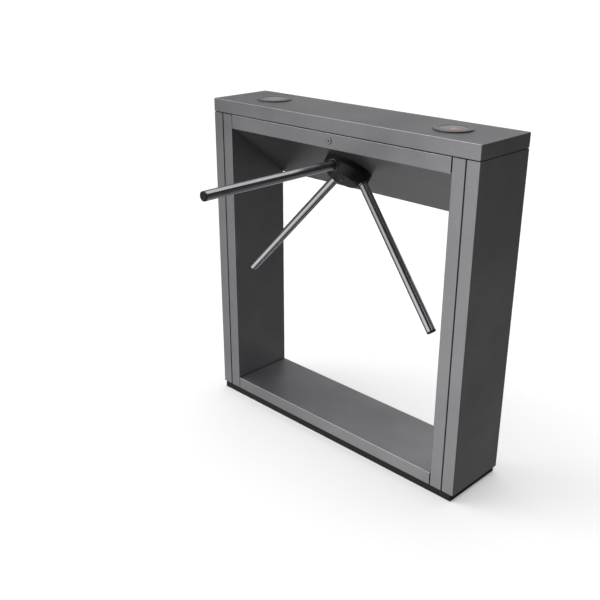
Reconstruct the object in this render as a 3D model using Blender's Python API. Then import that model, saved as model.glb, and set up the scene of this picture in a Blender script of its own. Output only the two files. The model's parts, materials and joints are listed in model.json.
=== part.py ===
"""Waist-high tripod turnstile cabinet: a gate frame of folded sheet, a three-armed rotor on a
tilted axis, its indexing and locking mechanism, a hinged service lid and two reader discs."""

import math

import bmesh
import bpy
from mathutils import Matrix, Vector
from mathutils.geometry import tessellate_polygon

for old in list(bpy.data.objects):
    bpy.data.objects.remove(old, do_unlink=True)

# driving dimensions, metres and degrees
cabinetLength = 0.972
cabinetDepth = 0.217
cabinetHeight = 1.000
lidHeight = 0.040
lidGap = 0.0016
plinthHeight = 0.022
plinthInset = 0.008
beamTop = 0.060
postWidth = 0.080
grooveCentre = 0.0392
grooveWidth = 0.0035
sheet = 0.002
foldChamfer = 0.0012
fasciaBottom = 0.918
panelTilt = 38.157           # sloping panel below horizontal
seam = 0.0008
fit = 0.0003                 # gap between touching pieces

hubSides = 40
armSides = 20
boreSides = 20
readerSides = 36

axisTilt = 49.9              # rotor axis below horizontal, and the arms' angle from it
frontSpace = 0.03355         # between the front face and the plate's front edge
railClearance = 0.0016       # mounting rails above the sloping panel, measured upright
armTip = 0.540
armRadius = 0.013
armWall = 0.0015
armRootAt = 0.0638
capThick = 0.004
capPlug = 0.014
collarLip = 0.004
collarThick = 0.0022
hubRadius = 0.070
flangeFront = 0.0285
hubRimFront = 0.038
hubNoseAt = 0.060
hubFaceAt = 0.064
hubFaceRadius = 0.0455
hubBandWidth = 0.0034
shaftRadius = 0.012
bearingRadius = 0.021
bearingWidth = 0.012

plateHalfLength = 0.130
flangeToRail = 0.002
rearSpace = 0.0178           # between the plate's rear edge and the rear panel
plateThick = 0.006
plateTop = -0.0017
railWidth = 0.012
railThick = 0.0056
gearModule = 0.0015
driveTeeth = 60
pinionTeeth = 20
gearFace = 0.007
gearBase = 0.018
damperAngle = -40.0
discRadius = 0.046
notchDepth = 0.0055
lockRadius = 0.048
slotCount = 12
slotWidth = 0.0084
slotDepth = 0.009
rollerRadius = 0.008
boltRadius = 0.0035
boltStroke = 0.0068
encoderRadius = 0.036

readerFromEnd = 0.1575
bezelRadius = 0.053
lensRadius = 0.0375
bezelHeight = 0.004
lockHeight = 0.938
lockRingRadius = 0.0102
lockFaceRadius = 0.0078
keywayWidth = 0.0022
keywayLength = 0.0064
hingeLength = 0.600
hingeKnuckles = 7
hingeOffset = 0.0043
knuckleRadius = 0.0035
hingePinRadius = 0.0015

halfLength = cabinetLength / 2
halfDepth = cabinetDepth / 2
lidBottom = cabinetHeight - lidHeight
postTop = lidBottom - lidGap
innerX = halfLength - postWidth
readerX = halfLength - readerFromEnd
collarRadius = armRadius + collarLip
hingeY = halfDepth + hingeOffset
hingeZ = (postTop + lidBottom) / 2


# materials
def paint(name, colour, metallic=0.0, roughness=0.5, alpha=1.0):
    material = bpy.data.materials.new(name)
    material.use_nodes = True
    shader = material.node_tree.nodes["Principled BSDF"]
    shader.inputs["Base Color"].default_value = (*colour, 1.0)
    shader.inputs["Metallic"].default_value = metallic
    shader.inputs["Roughness"].default_value = roughness
    shader.inputs["Alpha"].default_value = alpha
    material.diffuse_color = (*colour, alpha)
    return material


satinSteel = dict(colour=(0.30, 0.30, 0.31), metallic=0.8, roughness=0.35)
blackPaint = dict(colour=(0.012, 0.012, 0.013), roughness=0.5)
blackPlastic = dict(colour=(0.02, 0.02, 0.022), roughness=0.4)
glossBlack = dict(colour=(0.006, 0.006, 0.006), roughness=0.25)
chrome = dict(colour=(0.75, 0.76, 0.78), metallic=1.0, roughness=0.08)
machined = dict(colour=(0.52, 0.53, 0.54), metallic=1.0, roughness=0.3)
zincPlate = dict(colour=(0.45, 0.46, 0.44), metallic=1.0, roughness=0.4)
greyLens = dict(colour=(0.22, 0.23, 0.24), roughness=0.3)
bezelGrey = dict(colour=(0.28, 0.28, 0.29), metallic=0.6, roughness=0.35)
boardGreen = dict(colour=(0.01, 0.12, 0.05), roughness=0.45)
brassGear = dict(colour=(0.55, 0.40, 0.16), metallic=1.0, roughness=0.3)


# geometry helpers
def place(name, bm, look, origin=None, frame=None, helper=False):
    """Make an object from bm, whose points are in frame's coordinates."""
    bmesh.ops.remove_doubles(bm, verts=bm.verts, dist=1e-7)
    bmesh.ops.recalc_face_normals(bm, faces=bm.faces)
    if bm.calc_volume(signed=True) < 0:
        bmesh.ops.reverse_faces(bm, faces=bm.faces)
    if origin is not None:
        bmesh.ops.translate(bm, verts=bm.verts, vec=-Vector(origin))
    mesh = bpy.data.meshes.new(name)
    bm.to_mesh(mesh)
    bm.free()
    mesh.shade_smooth()
    mesh.set_sharp_from_angle(angle=math.radians(30))
    obj = bpy.data.objects.new(name, mesh)
    bpy.context.scene.collection.objects.link(obj)
    base = frame.copy() if frame else Matrix.Identity(4)
    obj.matrix_world = base @ Matrix.Translation(Vector(origin or (0, 0, 0)))
    if helper:
        obj.hide_render = True
        obj.display_type = "WIRE"
    else:
        mesh.materials.append(paint(name + "_surface", **look))
    return obj


def prism(outer, low, high, holes=(), along="Z"):
    """Closed outline, with holes, pushed along an axis. Along X the outline is (y, z),
    along Y it is (x, z), along Z it is (x, y)."""
    place3 = {
        "Z": lambda a, b, c: (a, b, c),
        "X": lambda a, b, c: (c, a, b),
        "Y": lambda a, b, c: (a, c, b),
    }[along]
    loops = [list(outer)] + [list(hole) for hole in holes]
    bm = bmesh.new()
    rings = []
    for loop in loops:
        bottom = [bm.verts.new(place3(a, b, low)) for a, b in loop]
        top = [bm.verts.new(place3(a, b, high)) for a, b in loop]
        rings.append((bottom, top))
        count = len(loop)
        for i in range(count):
            j = (i + 1) % count
            bm.faces.new((bottom[i], bottom[j], top[j], top[i]))
    if not holes:
        bm.faces.new(rings[0][0][::-1])
        bm.faces.new(rings[0][1])
        return bm
    flatBottom = [v for bottom, _ in rings for v in bottom]
    flatTop = [v for _, top in rings for v in top]
    triangles = tessellate_polygon([[Vector((a, b, 0)) for a, b in loop] for loop in loops])
    for a, b, c in triangles:
        bm.faces.new((flatBottom[a], flatBottom[b], flatBottom[c]))
        bm.faces.new((flatTop[a], flatTop[c], flatTop[b]))
    return bm


def box(low, high):
    outline = [(low[0], low[1]), (high[0], low[1]), (high[0], high[1]), (low[0], high[1])]
    return prism(outline, low[2], high[2])


def circle(radius, count=32, centre=(0.0, 0.0), start=0.0):
    return [
        (centre[0] + radius * math.cos(start + 2 * math.pi * i / count),
         centre[1] + radius * math.sin(start + 2 * math.pi * i / count))
        for i in range(count)
    ]


def lathe(profile, count=48, axis="Z", centre=(0.0, 0.0)):
    """Turn a closed (radius, height) outline about an axis through centre."""
    bm = bmesh.new()
    place3 = {
        "Z": lambda a, b, c: (centre[0] + a, centre[1] + b, c),
        "X": lambda a, b, c: (c, centre[0] + a, centre[1] + b),
        "Y": lambda a, b, c: (centre[0] + a, c, centre[1] + b),
    }[axis]
    rings = []
    for radius, height in profile:
        if radius < 1e-9:
            rings.append([bm.verts.new(place3(0.0, 0.0, height))])
            continue
        rings.append([
            bm.verts.new(place3(radius * math.cos(2 * math.pi * i / count),
                                radius * math.sin(2 * math.pi * i / count), height))
            for i in range(count)
        ])
    for k, ring in enumerate(rings):
        nextRing = rings[(k + 1) % len(rings)]
        if len(ring) == 1 and len(nextRing) == 1:
            continue
        for i in range(count):
            j = (i + 1) % count
            if len(ring) == 1:
                bm.faces.new((ring[0], nextRing[i], nextRing[j]))
            elif len(nextRing) == 1:
                bm.faces.new((ring[i], ring[j], nextRing[0]))
            else:
                bm.faces.new((ring[i], ring[j], nextRing[j], nextRing[i]))
    return bm


def boolean(target, other, operation="DIFFERENCE"):
    modifier = target.modifiers.new(other.name, "BOOLEAN")
    modifier.operation = operation
    modifier.solver = "EXACT"
    modifier.object = other
    return target


def helper(name, bm, frame=None):
    return place(name, bm, None, frame=frame, helper=True)


def chamfered(low, high, cut, corners="all"):
    """Rectangle outline with its corners cut, from low (a, b) to high (a, b)."""
    (a0, b0), (a1, b1) = low, high
    return [(a0 + cut, b0), (a1 - cut, b0), (a1, b0 + cut), (a1, b1 - cut),
            (a1 - cut, b1), (a0 + cut, b1), (a0, b1 - cut), (a0, b0 + cut)]


# gate frame
# base plate with anchor holes and a cable entry under each post
entryX = innerX + postWidth / 2
anchorHoles = [
    circle(0.007, 20, (sx * (entryX - 0.002), sy * 0.076)) for sx in (-1, 1) for sy in (-1, 1)
]
cableEntries = [
    [(sx * entryX - 0.018, -0.024), (sx * entryX + 0.018, -0.024),
     (sx * entryX + 0.018, 0.024), (sx * entryX - 0.018, 0.024)] for sx in (-1, 1)
]
place("plinth",
      prism([(-halfLength + plinthInset, -halfDepth + 0.001),
             (halfLength - plinthInset, -halfDepth + 0.001),
             (halfLength - plinthInset, halfDepth - 0.001),
             (-halfLength + plinthInset, halfDepth - 0.001)],
            0.0, plinthHeight, anchorHoles + cableEntries), blackPaint)

frameBottom = plinthHeight + fit
# lower beam, an inverted channel
place("lower_beam", prism([
    (-halfDepth, frameBottom), (-halfDepth + sheet, frameBottom),
    (-halfDepth + sheet, beamTop - sheet), (halfDepth - sheet, beamTop - sheet),
    (halfDepth - sheet, frameBottom), (halfDepth, frameBottom),
    (halfDepth, beamTop - foldChamfer), (halfDepth - foldChamfer, beamTop),
    (-halfDepth + foldChamfer, beamTop), (-halfDepth, beamTop - foldChamfer),
], -innerX + seam, innerX - seam, along="X"), satinSteel)

outerReturn = grooveCentre - grooveWidth / 2
innerReturn = grooveCentre + grooveWidth / 2
joggle = 0.0095
step = sheet + fit


def postShells(side, label):
    """Two facing folded shells; side is -1 on the left and 1 on the right."""
    def mirrored(points):
        return [(side * x, y) for x, y in points]

    outerFace = halfLength
    outerEdge = outerFace - outerReturn
    outline = [
        (outerFace - foldChamfer, -halfDepth), (outerFace, -halfDepth + foldChamfer),
        (outerFace, halfDepth - foldChamfer), (outerFace - foldChamfer, halfDepth),
        (outerEdge, halfDepth), (outerEdge, halfDepth - sheet),
        (outerFace - sheet, halfDepth - sheet), (outerFace - sheet, -halfDepth + sheet),
        (outerEdge, -halfDepth + sheet), (outerEdge, -halfDepth),
    ]
    place(f"post_{label}_outer", prism(mirrored(outline), frameBottom, postTop), satinSteel)
    innerEdge = outerFace - innerReturn
    tongue = outerEdge + joggle - 0.004
    outline = [
        (innerX + foldChamfer, -halfDepth), (innerEdge, -halfDepth),
        (innerEdge, -halfDepth + step), (tongue, -halfDepth + step),
        (tongue, -halfDepth + step + sheet), (innerEdge - sheet, -halfDepth + step + sheet),
        (innerEdge - sheet, -halfDepth + sheet), (innerX + sheet, -halfDepth + sheet),
        (innerX + sheet, halfDepth - sheet), (innerEdge - sheet, halfDepth - sheet),
        (innerEdge - sheet, halfDepth - step - sheet), (tongue, halfDepth - step - sheet),
        (tongue, halfDepth - step), (innerEdge, halfDepth - step),
        (innerEdge, halfDepth), (innerX + foldChamfer, halfDepth),
        (innerX, halfDepth - foldChamfer), (innerX, -halfDepth + foldChamfer),
    ]
    place(f"post_{label}_inner", prism(mirrored(outline), frameBottom, postTop), satinSteel)


postShells(-1, "left")
postShells(1, "right")

# head: fascia, sloping soffit, rear panel
fasciaReturn = 0.016
fascia = place("fascia", prism([
    (-halfDepth, fasciaBottom), (-halfDepth + sheet, fasciaBottom),
    (-halfDepth + sheet, postTop - sheet), (-halfDepth + fasciaReturn, postTop - sheet),
    (-halfDepth + fasciaReturn, postTop), (-halfDepth + foldChamfer, postTop),
    (-halfDepth, postTop - foldChamfer),
], -innerX + seam, innerX - seam, along="X"), satinSteel)
lockBarrelRadius = lockFaceRadius - fit
boolean(fascia, helper("cut_lock_hole", lathe([
    (0.0, -halfDepth - 0.01), (lockFaceRadius, -halfDepth - 0.01),
    (lockFaceRadius, -halfDepth + 0.01), (0.0, -halfDepth + 0.01)],
    boreSides, "Y", (0.0, lockHeight))))

slope = -math.tan(math.radians(panelTilt))
panelRearBottom = fasciaBottom + slope * cabinetDepth
slopeThick = sheet * math.sqrt(1 + slope * slope)


def slopeAt(y):
    return fasciaBottom + slope * (y + halfDepth)


panelFront = -halfDepth + sheet + fit
panelRear = halfDepth - sheet - fit
slopePanel = place("slope_panel", prism([
    (panelFront, slopeAt(panelFront)), (panelRear, slopeAt(panelRear)),
    (panelRear, slopeAt(panelRear) + slopeThick), (panelFront, slopeAt(panelFront) + slopeThick),
], -innerX + seam, innerX - seam, along="X"), satinSteel)
place("rear_panel", prism([
    (halfDepth - sheet, panelRearBottom), (halfDepth, panelRearBottom),
    (halfDepth, postTop), (halfDepth - sheet, postTop),
], -innerX + seam, innerX - seam, along="X"), satinSteel)

# rotor frame: u along the cabinet, v back and down, w up and back along the axis
tilt = math.radians(axisTilt)
plateFront = -(hubRadius + flangeToRail + railWidth)
axisY = -halfDepth + frontSpace - plateFront * math.sin(tilt)
plateRear = (halfDepth - sheet - rearSpace - axisY) / math.sin(tilt)
railTop = plateTop - plateThick - fit
railLow = railTop - railThick


def axisHeightOver(v):
    """Axis height at which the rail's lower edge at v clears the sloping panel."""
    y = axisY + v * math.sin(tilt) + railLow * math.cos(tilt)
    drop = v * math.cos(tilt) - railLow * math.sin(tilt)
    return slopeAt(y) + slopeThick + railClearance + drop


axisPoint = Vector((0.0, axisY, max(axisHeightOver(plateFront), axisHeightOver(plateRear))))
rotorFrame = Matrix.Translation(axisPoint) @ Matrix.Rotation(tilt - math.pi / 2, 4, "X")
openingRadius = (hubRadius + 0.0006) / math.cos(math.pi / hubSides)
boolean(slopePanel, helper("cut_rotor_opening", lathe([
    (0.0, -0.06), (openingRadius, -0.06), (openingRadius, 0.0), (0.0, 0.0)], hubSides),
    rotorFrame))

# mounting rails and plate
for label, centre in (("front", plateFront + railWidth / 2), ("rear", plateRear - railWidth / 2)):
    place(f"rail_{label}", box((-innerX + seam, centre - railWidth / 2, railLow),
                               (innerX - seam, centre + railWidth / 2, railTop)),
          zincPlate, frame=rotorFrame)

pivotAt = Vector((-0.062, 0.060, 0.0))
pivotRadius = 0.004
bossRadius = 0.032
bossTop = 0.016
plateOutline = chamfered((-plateHalfLength, plateFront), (plateHalfLength, plateRear), 0.012)
plate = place("mech_plate", prism(plateOutline, plateTop - plateThick, plateTop,
                                  [circle(shaftRadius + 0.002, boreSides)]),
              zincPlate, frame=rotorFrame)
for label, centre in (("left", -0.040), ("right", 0.040)):
    boolean(plate, helper(f"cut_window_{label}", box(
        (centre - 0.014, plateRear - 0.045, plateTop - plateThick - 0.002),
        (centre + 0.014, plateRear - 0.026, plateTop + 0.002)), rotorFrame))
boss = helper("add_bearing_boss", lathe([
    (shaftRadius + 0.004, plateTop - 0.003), (bossRadius, plateTop - 0.003),
    (bossRadius, bossTop), (bearingRadius + fit, bossTop),
    (bearingRadius + fit, plateTop + 0.0035), (shaftRadius + 0.004, plateTop + 0.0035)],
    boreSides), rotorFrame)
boolean(plate, boss, "UNION")
boolean(plate, helper("add_pivot_stud", lathe([
    (0.0, plateTop - 0.003), (pivotRadius, plateTop - 0.003), (pivotRadius, 0.0330),
    (0.0, 0.0330)], 20, centre=pivotAt.xy), rotorFrame), "UNION")
boltSpots = [(sx * x, v) for sx in (-1, 1) for x in (0.110, 0.040)
             for v in (plateFront + railWidth / 2, plateRear - railWidth / 2)]
for number, spot in enumerate(boltSpots):
    boolean(plate, helper(f"add_rail_bolt_{number}", lathe([
        (0.0, plateTop - 0.003), (0.0055, plateTop - 0.003), (0.0055, plateTop + 0.0045),
        (0.0, plateTop + 0.0045)], 6, centre=spot), rotorFrame), "UNION")

# fixed flange, bearings, shaft
flangeBack = plateTop - plateThick - fit
place("hub_flange", lathe([
    (shaftRadius + 0.0006, -flangeFront), (hubRadius - 0.0008, -flangeFront),
    (hubRadius, -flangeFront + 0.0008), (hubRadius, flangeBack),
    (bearingRadius + fit, flangeBack), (bearingRadius + fit, -flangeFront + 0.0035),
    (shaftRadius + 0.0006, -flangeFront + 0.0035)], hubSides), blackPlastic, frame=rotorFrame)


def bearing(name, low):
    high = low + bearingWidth
    inner = shaftRadius + fit
    place(name, lathe([
        (inner, low), (0.0150, low), (0.0150, low + 0.001), (0.0182, low + 0.001),
        (0.0182, low), (bearingRadius, low), (bearingRadius, high), (0.0182, high),
        (0.0182, high - 0.001), (0.0150, high - 0.001), (0.0150, high), (inner, high)], boreSides),
        machined, frame=rotorFrame)


bearing("bearing_front", -flangeFront + 0.0035 + fit)
bearing("bearing_rear", plateTop + 0.0035 + fit)
shaftFront = -0.0567
shaftBack = 0.058
place("shaft", lathe([
    (0.0, shaftFront), (shaftRadius - 0.001, shaftFront), (shaftRadius, shaftFront + 0.001),
    (shaftRadius, shaftBack - 0.001), (shaftRadius - 0.001, shaftBack), (0.0, shaftBack)],
    boreSides),
    machined, frame=rotorFrame)

# hub
shaftBore = shaftRadius + fit
noseRadius = hubRadius - (hubNoseAt - hubRimFront) / math.tan(tilt)
rimInner = hubRadius - hubBandWidth
hubBack = flangeFront + 0.0005
hub = place("hub_body", lathe([
    (shaftBore, -hubBack), (rimInner - fit, -hubBack), (rimInner - fit, -hubRimFront),
    (hubRadius, -hubRimFront), (noseRadius, -hubNoseAt), (hubFaceRadius, -hubFaceAt),
    (0.0033, -hubFaceAt), (0.0033, shaftFront - fit), (shaftBore, shaftFront - fit)], hubSides),
    blackPlastic, frame=rotorFrame)
band = place("hub_band", lathe([
    (rimInner, -hubBack), (hubRadius - 0.0005, -hubBack), (hubRadius, -hubBack - 0.0005),
    (hubRadius, -hubRimFront + fit), (rimInner, -hubRimFront + fit)], hubSides),
    glossBlack, frame=rotorFrame)
place("hub_screw", lathe([
    (0.0, -0.0575), (0.0030, -0.0575), (0.0030, -hubFaceAt - fit), (0.0046, -hubFaceAt - fit),
    (0.0046, -hubFaceAt - 0.0018), (0.0036, -hubFaceAt - 0.0028), (0.0018, -hubFaceAt - 0.0028),
    (0.0018, -hubFaceAt - 0.0012), (0.0, -hubFaceAt - 0.0012)], 20), chrome, frame=rotorFrame)

coneAt = hubRadius * math.sin(tilt) + hubRimFront * math.cos(tilt)
armFrames = []
for number, turn in enumerate((-90.0, 30.0, 150.0), start=1):
    spin = math.radians(turn)
    # local z of armFrame runs out along the arm
    armFrame = (rotorFrame @ Matrix.Rotation(spin, 4, "Z")
                @ Matrix.Rotation(math.pi - tilt, 4, "Y"))
    armFrames.append(armFrame)
    socket = helper(f"cut_socket_{number}", lathe([
        (0.0, armRootAt - fit), (armRadius + fit, armRootAt - fit),
        (armRadius + fit, coneAt + 0.02), (0.0, coneAt + 0.02)], armSides), armFrame)
    boolean(hub, socket)
    boolean(band, socket)
    place(f"arm_{number}", lathe([
        (armRadius - armWall, armRootAt), (armRadius, armRootAt),
        (armRadius, armTip - capThick), (armRadius - armWall, armTip - capThick)], armSides),
        chrome, frame=armFrame)
    place(f"arm_cap_{number}", lathe([
        (0.0, armTip - capThick - capPlug), (armRadius - armWall - fit, armTip - capThick - capPlug),
        (armRadius - armWall - fit, armTip - capThick + fit),
        (armRadius, armTip - capThick + fit), (armRadius, armTip - 0.001),
        (armRadius - 0.001, armTip), (0.0, armTip)], armSides), blackPlastic, frame=armFrame)
    place(f"arm_collar_{number}", lathe([
        (armRadius + fit, coneAt + fit), (collarRadius, coneAt + fit),
        (collarRadius, coneAt + collarThick - 0.0006),
        (collarRadius - 0.0006, coneAt + collarThick), (armRadius + fit, coneAt + collarThick)],
        armSides),
        chrome, frame=armFrame)


# indexing, damping, locking, counting
def gearOutline(teeth, phase, thin=0.00022):
    pitch = gearModule * teeth / 2
    base = pitch * math.cos(math.radians(20))
    root, tip = pitch - 1.25 * gearModule, pitch + 0.9 * gearModule
    involute = lambda angle: math.tan(angle) - angle
    halfTooth = math.pi / (2 * teeth) - thin / (2 * pitch) + involute(math.radians(20))
    radii = [max(base, root)] if root > base else [root, base]
    radii += [pitch, tip]
    flank = []
    for radius in radii:
        turn = math.acos(min(1.0, base / radius)) if radius > base else 0.0
        flank.append((radius, halfTooth - involute(turn)))
    outline = []
    for tooth in range(teeth):
        centre = phase + 2 * math.pi * tooth / teeth
        for radius, half in flank:
            outline.append((radius * math.cos(centre - half), radius * math.sin(centre - half)))
        for radius, half in reversed(flank):
            outline.append((radius * math.cos(centre + half), radius * math.sin(centre + half)))
    return outline


damperTurn = math.radians(damperAngle)
centreDistance = gearModule * (driveTeeth + pinionTeeth) / 2
damperAt = Vector((centreDistance * math.cos(damperTurn), centreDistance * math.sin(damperTurn), 0))
lightening = [circle(0.008, 12, (0.029 * math.cos(a), 0.029 * math.sin(a)))
              for a in (math.radians(30 + 60 * i) for i in range(6))]
place("drive_gear", prism(gearOutline(driveTeeth, damperTurn), gearBase, gearBase + gearFace,
                          [circle(shaftBore, boreSides)] + lightening), machined, frame=rotorFrame)

pinionPhase = damperTurn + math.pi + math.pi / pinionTeeth
pinion = prism(gearOutline(pinionTeeth, pinionPhase), gearBase, gearBase + gearFace)
bmesh.ops.translate(pinion, verts=pinion.verts, vec=damperAt)
pinionObject = place("damper_pinion", pinion, brassGear, origin=damperAt, frame=rotorFrame)
damperTop = gearBase - 0.0015
boolean(pinionObject, helper("add_damper_shaft", lathe([
    (0.0, 0.006), (0.003, 0.006), (0.003, gearBase + 0.001), (0.0, gearBase + 0.001)],
    20, centre=damperAt.xy), rotorFrame), "UNION")
place("damper_body", lathe([
    (0.0, plateTop + fit), (0.020, plateTop + fit), (0.020, damperTop - 0.003),
    (0.018, damperTop - 0.001), (0.007, damperTop - 0.001), (0.007, damperTop),
    (0.0033, damperTop), (0.0033, 0.005), (0.0, 0.005)], boreSides, centre=damperAt.xy),
    blackPlastic, frame=rotorFrame)

discBase = 0.0305
discTop = 0.0380
notchHalf = math.radians(12.5)
discOutline = []
for i in range(90):
    angle = 2 * math.pi * i / 90
    away = min(abs((angle - math.pi / 2 + math.pi - k * 2 * math.pi / 3) % (2 * math.pi) - math.pi)
               for k in range(3))
    dip = 0.5 + 0.5 * math.cos(math.pi * away / notchHalf) if away < notchHalf else 0.0
    radius = discRadius - notchDepth * dip
    discOutline.append((radius * math.cos(angle), radius * math.sin(angle)))
place("index_cam", prism(discOutline, discBase, discTop, [circle(shaftBore, boreSides)]),
      machined, frame=rotorFrame)

wheelBase = 0.0410
wheelTop = 0.0480
wheelOutline = []
for slot in range(slotCount):
    centre = 2 * math.pi * slot / slotCount
    half = math.asin(slotWidth / 2 / lockRadius)
    floor = lockRadius - slotDepth
    for radial, across in ((math.sqrt(lockRadius ** 2 - slotWidth ** 2 / 4), -slotWidth / 2),
                           (floor, -slotWidth / 2), (floor, slotWidth / 2),
                           (math.sqrt(lockRadius ** 2 - slotWidth ** 2 / 4), slotWidth / 2)):
        wheelOutline.append((radial * math.cos(centre) - across * math.sin(centre),
                             radial * math.sin(centre) + across * math.cos(centre)))
    span = 2 * math.pi / slotCount - 2 * half
    for k in range(1, 3):
        angle = centre + half + span * k / 3
        wheelOutline.append((lockRadius * math.cos(angle), lockRadius * math.sin(angle)))
place("lock_wheel", prism(wheelOutline, wheelBase, wheelTop, [circle(shaftBore, boreSides)]),
      machined, frame=rotorFrame)

encoderOutline = []
for i in range(24):
    a0 = 2 * math.pi * i / 24
    for radius, part in ((encoderRadius - 0.005, 0.0), (encoderRadius - 0.005, 0.5),
                         (encoderRadius, 0.5), (encoderRadius, 1.0)):
        angle = a0 + 2 * math.pi / 24 * part
        encoderOutline.append((radius * math.cos(angle), radius * math.sin(angle)))
place("encoder_disc", prism(encoderOutline, 0.0520, 0.0540, [circle(shaftBore, boreSides)]),
      blackPlastic, frame=rotorFrame)
sensor = prism([
    (-0.066, plateTop + fit), (-0.048, plateTop + fit), (-0.048, 0.002), (-0.0565, 0.002),
    (-0.0565, 0.0485), (-0.028, 0.0485), (-0.028, 0.0512), (-0.0565, 0.0512),
    (-0.0565, 0.0548), (-0.028, 0.0548), (-0.028, 0.0585), (-0.066, 0.0585),
], -0.007, 0.007, along="X")
place("count_sensor", sensor, blackPlastic, frame=rotorFrame)

# index lever swings on the pivot stud and carries the roller
rollerAt = Vector((0.0, discRadius + rollerRadius + 0.0005, 0.0))
leverLow = 0.0260
leverHigh = 0.0296
leverOutline = [(-0.0710, 0.0600), (-0.0685, 0.0665), (-0.0620, 0.0690), (-0.0555, 0.0685),
                (0.0000, 0.0625), (0.0300, 0.0665), (0.0370, 0.0640), (0.0380, 0.0580),
                (0.0320, 0.0540), (0.0060, 0.0485), (-0.0060, 0.0482), (-0.0560, 0.0520),
                (-0.0630, 0.0510), (-0.0690, 0.0545)]
lever = place("index_lever", prism(leverOutline, leverLow, leverHigh,
                                   [circle(pivotRadius + fit, 20, pivotAt.xy),
                                    circle(0.0020, 12, (0.031, 0.060))]),
              machined, origin=pivotAt, frame=rotorFrame)
boolean(lever, helper("add_roller_pin", lathe([
    (0.0, leverLow + 0.001), (0.003, leverLow + 0.001), (0.003, discTop + 0.0012),
    (0.0, discTop + 0.0012)], 16, centre=rollerAt.xy), rotorFrame), "UNION")
roller = lathe([
    (0.0033, leverHigh + fit), (rollerRadius, leverHigh + fit), (rollerRadius, discTop),
    (0.0033, discTop)], boreSides, centre=rollerAt.xy)
place("index_roller", roller, machined, origin=rollerAt, frame=rotorFrame)

boltMid = (wheelBase + wheelTop) / 2
boltTip = lockRadius + 0.0008
coilNear, coilFar = 0.060, 0.112
for side, label in ((-1, "left"), (1, "right")):
    profile = [
        (0.064, plateTop + fit), (0.108, plateTop + fit), (0.108, 0.004), (0.098, 0.004),
        (0.098, boltMid - 0.016), (coilFar, boltMid - 0.016), (coilFar, boltMid + 0.016),
        (coilNear, boltMid + 0.016), (coilNear, boltMid - 0.016), (0.074, boltMid - 0.016),
        (0.074, 0.004), (0.064, 0.004)]
    coil = place(f"solenoid_{label}", prism([(side * a, b) for a, b in profile],
                                            -0.016, 0.016, along="Y"), zincPlate, frame=rotorFrame)
    ends = sorted((side * (coilNear - 0.01), side * (coilFar + 0.01)))
    boolean(coil, helper(f"cut_bolt_bore_{label}", lathe([
        (0.0, ends[0]), (boltRadius + fit, ends[0]), (boltRadius + fit, ends[1]), (0.0, ends[1])],
        24, "X", (0.0, boltMid)), rotorFrame))
    rod = [(0.0, boltTip), (boltRadius - 0.0008, boltTip), (boltRadius, boltTip + 0.0008),
           (boltRadius, coilFar + boltStroke + 0.0012), (0.006, coilFar + boltStroke + 0.0012),
           (0.006, coilFar + boltStroke + 0.0042), (0.0, coilFar + boltStroke + 0.0042)]
    place(f"bolt_{label}", lathe([(r, side * x) for r, x in rod], 24, "X", (0.0, boltMid)),
          machined, origin=Vector((side * boltTip, 0.0, boltMid)), frame=rotorFrame)

# lid, readers, hinge and lock
hingeOrigin = Vector((0.0, hingeY, hingeZ))
lidCut = 0.0015
lidOutline = [(-halfDepth, lidBottom), (halfDepth, lidBottom), (halfDepth, cabinetHeight - lidCut),
              (halfDepth - lidCut, cabinetHeight), (-halfDepth + lidCut, cabinetHeight),
              (-halfDepth, cabinetHeight - lidCut)]
lid = place("lid", prism(lidOutline, -halfLength, halfLength, along="X"),
            satinSteel, origin=hingeOrigin)
boolean(lid, helper("cut_lid_tray", box(
    (-halfLength + sheet, -halfDepth + sheet, lidBottom - 0.01),
    (halfLength - sheet, halfDepth - sheet, cabinetHeight - sheet))))
canRadius = 0.0455
for side, label in ((-1, "left"), (1, "right")):
    spot = (side * readerX, 0.0)
    holeRadius = lensRadius + 0.0015
    boolean(lid, helper(f"cut_reader_hole_{label}", lathe([
        (0.0, cabinetHeight - 0.02), (holeRadius, cabinetHeight - 0.02),
        (holeRadius, cabinetHeight + 0.01), (0.0, cabinetHeight + 0.01)], readerSides,
        centre=spot)))
    low = cabinetHeight + fit
    place(f"reader_bezel_{label}", lathe([
        (lensRadius + fit, low), (bezelRadius - 0.001, low), (bezelRadius, low + 0.001),
        (bezelRadius, low + bezelHeight - 0.0012), (bezelRadius - 0.0012, low + bezelHeight),
        (lensRadius + 0.0012, low + bezelHeight), (lensRadius + fit, low + bezelHeight - 0.0009)],
        readerSides, centre=spot), bezelGrey, origin=hingeOrigin)
    place(f"reader_lens_{label}", lathe([
        (0.0, low - 0.0015), (lensRadius, low - 0.0015), (lensRadius, low + bezelHeight - 0.0014),
        (lensRadius - 0.001, low + bezelHeight - 0.0006), (0.0, low + bezelHeight - 0.0004)],
        readerSides, centre=spot), greyLens, origin=hingeOrigin)
    under = cabinetHeight - sheet - fit
    place(f"reader_housing_{label}", lathe([
        (0.0, under - 0.024), (canRadius, under - 0.024), (canRadius, under),
        (canRadius - 0.003, under), (canRadius - 0.003, under - 0.020), (0.0, under - 0.020)],
        readerSides, centre=spot), blackPlastic, origin=hingeOrigin)

knuckle = hingeLength / hingeKnuckles
leafThick = 0.0015
leafFace = halfDepth + fit


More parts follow.
